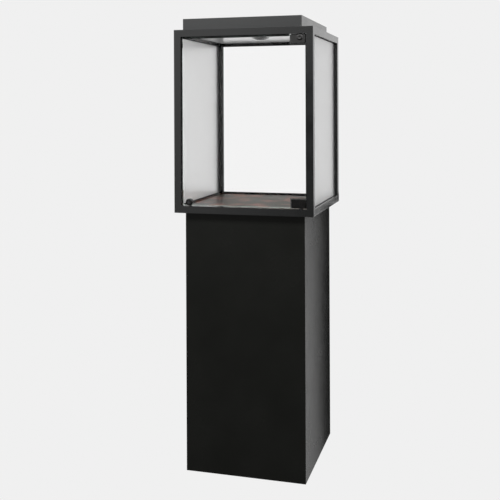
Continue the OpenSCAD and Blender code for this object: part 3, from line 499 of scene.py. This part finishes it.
def clouded_finish(name, dark, pale, scale, detail, stretch=(1, 1, 1), **uniform):
    """A finish whose tone passes between two colours with a noise, its gloss even."""
    made, tree, shader = new_finish(name, **uniform)
    place = tree.nodes.new("ShaderNodeTexCoord").outputs["Object"]
    cloud = ranged(tree, noise(tree, place, scale, detail, stretch), *NOISE_SPAN)
    join(tree, blend_tones(tree, cloud, dark, pale), shader.inputs["Base Color"])
    return made


def drawn_steel(name, tone, streaks, gloss):
    """Turned or drawn metal: fine streaks in the tone and the gloss along one axis."""
    made, tree, shader = new_finish(name, Metallic=1.0)
    place = tree.nodes.new("ShaderNodeTexCoord").outputs["Object"]
    lines = noise(tree, place, STREAK_SCALE, detail=3.0, stretch=streaks)
    dull = tuple(channel * STREAK_SHADE for channel in tone[:3]) + (1,)
    join(tree, blend_tones(tree, ranged(tree, lines, *NOISE_SPAN), dull, tone),
         shader.inputs["Base Color"])
    join(tree, ranged(tree, lines, *NOISE_SPAN, *gloss), shader.inputs["Roughness"])
    return made


pine = clouded_finish("pine", PINE_DARK, PINE_PALE, scale=60.0, detail=4.0,
                      stretch=UPRIGHT_GRAIN, Roughness=0.6)
black_plastic = skin_finish("black_plastic", GLIDE_DARK, GLIDE_PALE, cloud=30.0,
                            pebble=2500.0, gloss=(0.42, 0.55), relief=0.2, ior=1.46)
zinc = drawn_steel("zinc_plate", ZINC, streaks=(1, 1, 0.2), gloss=(0.28, 0.45))
cover(chipboard, "pedestal_base", "pedestal_top")
cover(pine, "corner_battens")
cover(black_plastic, "floor_glides", "power_inlet")
cover(zinc, "batten_screws", "inlet_screws", "case_bolts")


# ---- Case frame -------------------------------------------------------------
# Square aluminium profile in black powder coat: four posts and eight rails, cut
# square and drawn together by screws into a plug hidden in each rail's end. Flush
# plastic caps close the posts.
COAT_DARK = (0.0030, 0.0032, 0.0032, 1)
COAT_LIGHT = (0.0048, 0.0051, 0.0051, 1)
PROFILE_ARRIS = 0.0007
POSTS = ["post_%s_%s" % (end, side) for end in ("front", "rear") for side in ("left", "right")]
RAILS = ["rail_%s_%s" % (height, side) for height in ("lower", "upper")
         for side in ("front", "rear", "left", "right")]

powder_coat = skin_finish("powder_coat", COAT_DARK, COAT_LIGHT, cloud=16.0,
                          pebble=1500.0, gloss=(0.15, 0.20), relief=0.2, ior=1.5)
for member in POSTS + RAILS:
    eased(member, powder_coat, PROFILE_ARRIS)
cover(powder_coat, "post_caps")
cover(black_plastic, "rail_plugs")
cover(zinc, "tie_screws")


# ---- Door rebate ------------------------------------------------------------
# Flat black flock tape lines the left post where the door's free edge closes, and
# a soft black seal runs down the right post between the two hinges.
FLOCK_DARK = (0.0030, 0.0030, 0.0030, 1)
FLOCK_PALE = (0.0050, 0.0050, 0.0050, 1)
TAPE_T = 0.0006
TAPE_ARRIS = 0.0002
SEAL_T = 0.0018
SEAL_ARRIS = 0.0005
STRIP_STEPS = 2
JAMB_FRONT_GAP = 0.0008
JAMB_BACK_GAP = 0.0005
RAIL_GAP = 0.0005
HINGE_ROOM = 0.0335


def trim_strip(name, node, finish, low, high, arris):
    """A thin strip between two corners, its long edges rounded, on a node's body."""
    bm = bmesh.new()
    bmesh.ops.create_cube(bm, size=1.0)
    middle = (Vector(low) + Vector(high)) / 2
    for vert in bm.verts:
        vert.co = Vector([c * (h - l) + m for c, h, l, m in zip(vert.co, high, low, middle)])
    bmesh.ops.bevel(bm, geom=bm.edges[:], offset=arris, offset_type="OFFSET",
                    segments=STRIP_STEPS, affect="EDGES", profile=0.5, material=-1)
    mesh = bpy.data.meshes.new(name)
    bm.to_mesh(mesh)
    bm.free()
    mesh.materials.append(finish)
    piece = placed(name, mesh)
    carrier, slot = body_and_slot(node)
    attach(piece, carrier)


flock = skin_finish("black_flock", FLOCK_DARK, FLOCK_PALE, cloud=60.0, pebble=4000.0,
                    gloss=(0.75, 0.85), relief=0.3, ior=1.15)
post_low, post_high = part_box("post_front_left")
free_jamb = post_high.x
hinge_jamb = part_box("post_front_right")[0].x
jamb_front = post_low.y + JAMB_FRONT_GAP
jamb_back = post_high.y - JAMB_BACK_GAP
door_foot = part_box("rail_lower_front")[1].z + RAIL_GAP
door_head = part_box("rail_upper_front")[0].z - RAIL_GAP
door_low, door_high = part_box("door_glass")
trim_strip("free_jamb_tape", "door_stop", flock, (free_jamb, jamb_front, door_foot),
           (free_jamb + TAPE_T, jamb_back, door_head), TAPE_ARRIS)
trim_strip("hinge_jamb_seal", "door_stop", flock,
           (hinge_jamb - SEAL_T, jamb_front, door_low.z + HINGE_ROOM),
           (hinge_jamb, jamb_back, door_high.z - HINGE_ROOM), SEAL_ARRIS)


# ---- Glazing beads ----------------------------------------------------------
# Flat black tape lines the side rails' tops beside the deck. On each rear post two
# coated beads hold the glass, a flat one the side pane and a deep one the rear pane.
BEAD_TAPE_T = 0.0005
BEAD_TAPE_W = 0.0098
BEAD_TAPE_ARRIS = 0.0001
TAPE_SHORT = 0.001
SIDE_BEAD_W = 0.0143
SIDE_BEAD_T = 0.0045
SIDE_BEAD_ARRIS = 0.0012
REAR_BEAD_T = 0.0055
REAR_BEAD_SETBACK = 0.0005
REAR_BEAD_ARRIS = 0.0006
SIDES = (("left", -1), ("right", 1))


def inner_face(node, sign):
    """The place on X of a side member's face towards the middle of the case."""
    low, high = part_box(node)
    return high.x if sign < 0 else low.x


def side_strip(name, node, finish, face, reach, depth, height, arris):
    """A trim strip that reaches across from a face, between two depths and two heights."""
    across = sorted((face, face + reach))
    (front, back), (foot, head) = depth, height
    trim_strip(name, node, finish, (across[0], front, foot), (across[1], back, head), arris)


rail_low, rail_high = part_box("rail_lower_left")
rail_top = rail_high.z
tape_top = rail_top + BEAD_TAPE_T
tape_depth = (rail_low.y + TAPE_SHORT, rail_high.y - TAPE_SHORT)
bead_height = (tape_top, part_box("rail_upper_left")[0].z)
post_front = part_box("post_rear_left")[0].y
for side, sign in SIDES:
    rail = "rail_lower_" + side
    side_strip("bead_" + side, rail, flock, inner_face(rail, sign), sign * BEAD_TAPE_W,
               tape_depth, (rail_top, tape_top), BEAD_TAPE_ARRIS)
for side, sign in SIDES:
    post = "post_rear_" + side
    side_strip("corner_bead_" + side, post, powder_coat, inner_face("pane_" + side, sign),
               -sign * SIDE_BEAD_W, (post_front - SIDE_BEAD_T, post_front), bead_height,
               SIDE_BEAD_ARRIS)
    side_strip("rear_bead_" + side, post, powder_coat, inner_face(post, sign),
               -sign * REAR_BEAD_T, (post_front + REAR_BEAD_SETBACK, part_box("pane_rear")[0].y),
               bead_height, REAR_BEAD_ARRIS)


# ---- Deck -------------------------------------------------------------------
# A loose panel with a dark brown semi-gloss face; the rose and grey-green clouds in its tone
# are painted reflections of the room. It lies on a laminated base board a little below the tops of
# the rails, and a narrow strip of the same sheet stands along each side.
DECK_BROWN = (0.014, 0.0128, 0.0115, 1)
DECK_ROSE_REFLECTION = (0.260, 0.105, 0.075, 1)
DECK_MOSS_REFLECTION = (0.012, 0.017, 0.013, 1)
DECK_ROSE_REFLECTION_SPAN = (0.40, 0.64)
EDGE_STRIP_T = 0.0008
EDGE_STRIP_ARRIS = 0.0002

deck_gloss, tree, shader = new_finish("deck_gloss", Roughness=0.33, IOR=1.21)
deck_place = tree.nodes.new("ShaderNodeTexCoord").outputs["Object"]
rose_reflection_cloud = noise(tree, deck_place, scale=11.0, detail=3.0)
moss_reflection_cloud = noise(tree, deck_place, scale=17.0, detail=2.0, stretch=(1, 0.8, 1))
# The brown is the deck's own dark tone; the rose and moss clouds mixed in are painted reflections.
rosy_reflection = blend_tones(tree, ranged(tree, rose_reflection_cloud, *DECK_ROSE_REFLECTION_SPAN), DECK_BROWN, DECK_ROSE_REFLECTION)
join(tree, blend_tones(tree, ranged(tree, moss_reflection_cloud, *NOISE_SPAN), rosy_reflection, DECK_MOSS_REFLECTION),
     shader.inputs["Base Color"])
cover(laminate, "case_base")
cover(deck_gloss, "deck")
deck_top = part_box("deck")[1].z
for side, sign in SIDES:
    side_strip("deck_edge_" + side, "deck", deck_gloss, inner_face("rail_lower_" + side, sign),
               -sign * EDGE_STRIP_T, tape_depth, (deck_top, rail_top), EDGE_STRIP_ARRIS)


# ---- Fixed panes ------------------------------------------------------------
# Three clear panes held by black rubber in the grooves of posts and rails. The side
# panes grey, haze and shine where they are seen at a slant; the rear one stays clear.
PANE_GREY = (0.97, 0.972, 0.97, 1)
PANE_CLEAR = (1.0, 1.0, 1.0, 1)
SLANT_SPAN = (0.3, 0.6)
SLANT_HAZE = 0.41
RUBBER_DARK = (0.0040, 0.0040, 0.0040, 1)
RUBBER_PALE = (0.0070, 0.0070, 0.0070, 1)

side_glass, tree, shader = new_finish("side_glass", Transmission_Weight=1.0, IOR=1.45,
                                      Coat_IOR=2.3, Coat_Roughness=0.26)
slant = tree.nodes.new("ShaderNodeLayerWeight")
slant.inputs["Blend"].default_value = 0.5
slanted = ranged(tree, slant.outputs["Facing"], *SLANT_SPAN)
join(tree, blend_tones(tree, slanted, PANE_CLEAR, PANE_GREY), shader.inputs["Base Color"])
join(tree, calc(tree, "MULTIPLY", slanted, SLANT_HAZE), shader.inputs["Roughness"])
join(tree, slanted, shader.inputs["Coat Weight"])
clear_glass = new_finish("clear_glass", Base_Color=PANE_CLEAR, Transmission_Weight=1.0,
                         Roughness=0.0, IOR=1.06)[0]
rubber = skin_finish("black_rubber", RUBBER_DARK, RUBBER_PALE, cloud=40.0, pebble=3000.0,
                     gloss=(0.55, 0.7), relief=0.2, ior=1.4)
cover(side_glass, "pane_left", "pane_right")
cover(clear_glass, "pane_rear")
cover(rubber, "pane_gaskets")


# ---- Ceiling ----------------------------------------------------------------
# A white gloss panel bonded up under the particle-board roof. It mirrors the rear
# post and the light from the panes.
CEILING_WHITE = (0.80, 0.805, 0.80, 1)
CEILING_SHADE = (0.72, 0.725, 0.72, 1)

white_gloss = skin_finish("white_gloss", CEILING_SHADE, CEILING_WHITE, cloud=6.0,
                          pebble=200.0, gloss=(0.14, 0.18), relief=0.04, ior=1.36)
cover(white_gloss, "ceiling")
cover(chipboard, "roof_board")


# ---- Hood -------------------------------------------------------------------
# A folded sheet lid in the frame's black powder coat, set in from its edge and screwed to two
# pine cleats on the roof board. Its coat is painted lighter than the frame's, as painted light from
# above. It hides the lamp's driver.
HOOD_LIT_DARK = (0.0150, 0.0155, 0.0155, 1)
HOOD_LIT_LIGHT = (0.0210, 0.0216, 0.0216, 1)
FOLD_ARRIS = 0.0014

# The frame's black coat painted lighter: painted light falling on the top of the case.
painted_lit_hood_coat = skin_finish("painted_lit_hood_coat", HOOD_LIT_DARK, HOOD_LIT_LIGHT, cloud=5.0, pebble=1500.0,
                        gloss=(0.20, 0.26), relief=0.2, ior=1.5)
eased("hood", painted_lit_hood_coat, FOLD_ARRIS)
cover(pine, "hood_cleats")
cover(zinc, "hood_screws")


# ---- Downlight --------------------------------------------------------------
# A recessed spot: a dark turned bezel with a shallow cone round an opal lens,
# on a finned cast body that reaches up into the hood.
BEZEL_DARK = (0.035, 0.035, 0.034, 1)
BEZEL_LIGHT = (0.055, 0.055, 0.053, 1)
OPAL_SHADE = (0.75, 0.75, 0.71, 1)
OPAL = (0.86, 0.86, 0.82, 1)
CAST = (0.55, 0.56, 0.57, 1)

bezel_lacquer = skin_finish("bezel_lacquer", BEZEL_DARK, BEZEL_LIGHT, cloud=25.0,
                            pebble=1800.0, gloss=(0.22, 0.30), relief=0.15, ior=1.5)
opal = skin_finish("opal_lens", OPAL_SHADE, OPAL, cloud=60.0, pebble=2500.0,
                   gloss=(0.25, 0.35), relief=0.1, ior=1.49)
cast_metal = drawn_steel("cast_metal", CAST, streaks=(1, 1, 1), gloss=(0.40, 0.60))
cover(bezel_lacquer, "downlight_bezel")
cover(opal, "downlight_lens")
cover(cast_metal, "downlight_body")


# ---- Leads and driver -------------------------------------------------------
# The lamp's driver lies on the roof board. Its supply comes up from the inlet in
# the column's back, through the rear post; a white lead goes on to the lamp.
WHITE_SHADE = (0.60, 0.60, 0.58, 1)
WHITE_LIGHT = (0.74, 0.74, 0.72, 1)

white_plastic = skin_finish("white_plastic", WHITE_SHADE, WHITE_LIGHT, cloud=20.0,
                            pebble=2000.0, gloss=(0.38, 0.50), relief=0.15, ior=1.46)
cover(white_plastic, "led_driver", "lamp_lead")
cover(black_plastic, "supply_lead")


# ---- Glass door -------------------------------------------------------------
# One sheet of tempered glass with polished green arrises, notched for the hinges and
# the lock. It closes against a rubber strip pressed up into the upper rail.
EDGE_DEEP = (0.52, 0.72, 0.63, 1)
EDGE_GREEN = (0.62, 0.80, 0.72, 1)
POLISHED_ARRIS = 0.0005
POLISHED_EDGE = 60

glass_edge = clouded_finish("glass_edge", EDGE_DEEP, EDGE_GREEN, scale=120.0, detail=2.0,
                            Roughness=0.12, IOR=1.45, Transmission_Weight=0.85)
door_pane = placed("door_pane", merged("door_glass"))
for face in door_pane.data.polygons:
    face.use_smooth = False
arris_on(door_pane, POLISHED_ARRIS, 1, POLISHED_EDGE).material = 1
stand_in(door_pane, "door_glass", clear_glass)
door_pane.data.materials.append(glass_edge)
cover(rubber, "door_stop")


# ---- Pivot hinges -----------------------------------------------------------
# Black lacquered castings clamp the glass between clear pads and turn on steel
# pins in black plain bushes. The upper one has a round adjuster on its face and a
# short brush on its top, either side of the pin; the lower one's coat is duller.
LACQUER_DARK = (0.0026, 0.0024, 0.0022, 1)
LACQUER_LIGHT = (0.0048, 0.0044, 0.0042, 1)
PAD_CLEAR = (0.92, 0.93, 0.92, 1)
PAD_CLOUD = (0.84, 0.85, 0.84, 1)
BLACK_STEEL = (0.07, 0.07, 0.072, 1)
CASTING_ARRIS = 0.0006
BRUSH_ARRIS = 0.0003
BRUSH_IN = 0.002
BRUSH_FREE_GAP = 0.0005
BRUSH_POST_GAP = 0.0003
PIN_GAP = 0.001

lacquer = skin_finish("black_lacquer", LACQUER_DARK, LACQUER_LIGHT, cloud=60.0,
                      pebble=2200.0, gloss=(0.14, 0.20), relief=0.2, ior=1.55)
dull_lacquer = skin_finish("dull_lacquer", LACQUER_DARK, LACQUER_LIGHT, cloud=60.0,
                           pebble=2200.0, gloss=(0.20, 0.28), relief=0.2, ior=1.28)
pad_plastic = clouded_finish("clear_pad", PAD_CLEAR, PAD_CLOUD, scale=200.0, detail=2.0,
                             Roughness=0.1, IOR=1.15, Transmission_Weight=0.95)
black_steel = drawn_steel("black_steel", BLACK_STEEL, streaks=(1, 0.2, 1), gloss=(0.30, 0.42))

castings = eased("hinge_bodies", lacquer, CASTING_ARRIS)
castings.data.materials.append(dull_lacquer)
for face in castings.data.polygons:
    face.material_index = 1 if face.center.z < (door_low.z + door_high.z) / 2 else 0
eased("hinge_back_plates", lacquer, CASTING_ARRIS)
low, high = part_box("hinge_bodies")
pin_low, pin_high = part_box("hinge_pins")
for end, left, right in (("free", low.x + BRUSH_FREE_GAP, pin_low.x - PIN_GAP),
                         ("post", pin_high.x + PIN_GAP, high.x - BRUSH_POST_GAP)):
    trim_strip("head_brush_" + end, "hinge_bodies", flock, (left, low.y + BRUSH_IN, high.z),
               (right, high.y - BRUSH_IN, door_head), BRUSH_ARRIS)

TURN_STEPS = 72
TURN_SHARP = math.radians(35)
SOCKET_SIDES = 6
ON_FRONT = 1e-7
NEAR_AXIS = 0.0001

# The boss from its rim inwards: (radius beyond the rim, place on Y), then the lip of
# its recess as (radius, place on Y), and the recess's radius and depth.
BOSS_RIM = [(0.0, 0.0), (0.0, -0.0008), (-0.0006, -0.0011), (-0.0038, -0.0019),
            (-0.0046, -0.0020)]
BOSS_LIP = [(0.0052, -0.0020), (0.0048, -0.0017), (0.0034, -0.0013)]
BOSS_SOCKET = (0.0026, 0.0009)


def turned(name, node, finish, centre, outline, socket=None):
    """A turned piece on an axis along Y; outline is (radius, place on Y) pairs.

    A socket (radius, depth) sinks a hexagonal recess into the front's middle."""
    bm = bmesh.new()
    points = [bm.verts.new((radius, place, 0)) for radius, place in outline]
    edges = [bm.edges.new(pair) for pair in zip(points, points[1:])]
    bmesh.ops.spin(bm, geom=points + edges, cent=(0, 0, 0), axis=(0, 1, 0),
                   angle=2 * math.pi, steps=TURN_STEPS, use_merge=True)
    bmesh.ops.remove_doubles(bm, verts=bm.verts, dist=DOUBLED)
    if socket:
        front = outline[-1][1]
        rim = [e for e in bm.edges if e.is_boundary and abs(e.verts[0].co.y - front) < ON_FRONT]
        made = bmesh.ops.create_circle(bm, segments=SOCKET_SIDES, radius=socket[0],
                                       matrix=Matrix.Translation((0, front, 0))
                                       @ Matrix.Rotation(math.pi / 2, 4, "X"))
        hexagon = list({e for v in made["verts"] for e in v.link_edges})
        bmesh.ops.bridge_loops(bm, edges=rim + hexagon)
        sunk = bmesh.ops.extrude_edge_only(bm, edges=hexagon)["geom"]
        floor_ring = [part for part in sunk if isinstance(part, bmesh.types.BMVert)]
        bmesh.ops.translate(bm, verts=floor_ring, vec=(0, socket[1], 0))
        bmesh.ops.contextual_create(bm, geom=floor_ring)
    bmesh.ops.recalc_face_normals(bm, faces=bm.faces)
    bmesh.ops.translate(bm, verts=bm.verts, vec=centre)
    mesh = bpy.data.meshes.new(name)
    bm.to_mesh(mesh)
    bm.free()
    for face in mesh.polygons:
        face.use_smooth = len(face.vertices) == 4
    mesh.set_sharp_from_angle(angle=TURN_SHARP)
    stand_in(placed(name, mesh), node, finish)


low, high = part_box("hinge_adjuster")
middle = (low + high) / 2
radius = (high.x - low.x) / 2
turned("adjuster_boss", "hinge_adjuster", lacquer, (middle.x, high.y, middle.z),
       [(NEAR_AXIS, 0.0)] + [(radius + beyond, place) for beyond, place in BOSS_RIM] + BOSS_LIP,
       BOSS_SOCKET)
cover(pad_plastic, "hinge_pads")
cover(zinc, "hinge_pins")
cover(black_steel, "hinge_screws")
cover(black_plastic, "pivot_bushes")


# ---- Lock -------------------------------------------------------------------
# A round black glass-door lock: its barrel fills the notch in the glass and is held by
# a ring nut over a clear pad. The blackened steel plug turns a cam, which goes down
# behind an angle keeper on the lower rail.
BORE_RADIUS = 0.00555
BARREL_RADIUS = 0.0085

# The front from the bore outwards: the bore's broken edge and a shallow groove as
# (radius, depth) pairs, then the rounded rim as (radius beyond the rim, depth).
BORE_CHAMFER_W = 0.0004
BORE_CHAMFER_D = 0.0006
FACE_GROOVE = [(0.0082, 0.0), (0.0085, 0.0003), (0.0089, 0.0003), (0.0092, 0.0)]
LOCK_RIM = [(-0.0018, 0.0), (-0.0010, 0.0003), (-0.0003, 0.0010), (0.0, 0.0019)]

low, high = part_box("lock_body")
middle = (low + high) / 2
radius = (high.x - low.x) / 2
bore_edge = (BORE_RADIUS, low.y + BORE_CHAMFER_D)
lock_face = [bore_edge, (BORE_RADIUS + BORE_CHAMFER_W, low.y)]
lock_face += [(reach, low.y + depth) for reach, depth in FACE_GROOVE]
lock_face += [(radius + beyond, low.y + depth) for beyond, depth in LOCK_RIM]
lock_barrel = [(radius, door_low.y), (BARREL_RADIUS, door_low.y), (BARREL_RADIUS, high.y),
               (BORE_RADIUS, high.y), bore_edge]
turned("lock_front", "lock_body", dull_lacquer, (middle.x, 0, middle.z),
       lock_face + lock_barrel)
cover(pad_plastic, "lock_pad")
cover(dull_lacquer, "lock_nut")
cover(black_steel, "lock_plug", "lock_cam", "lock_keeper")
cover(zinc, "cam_screw")
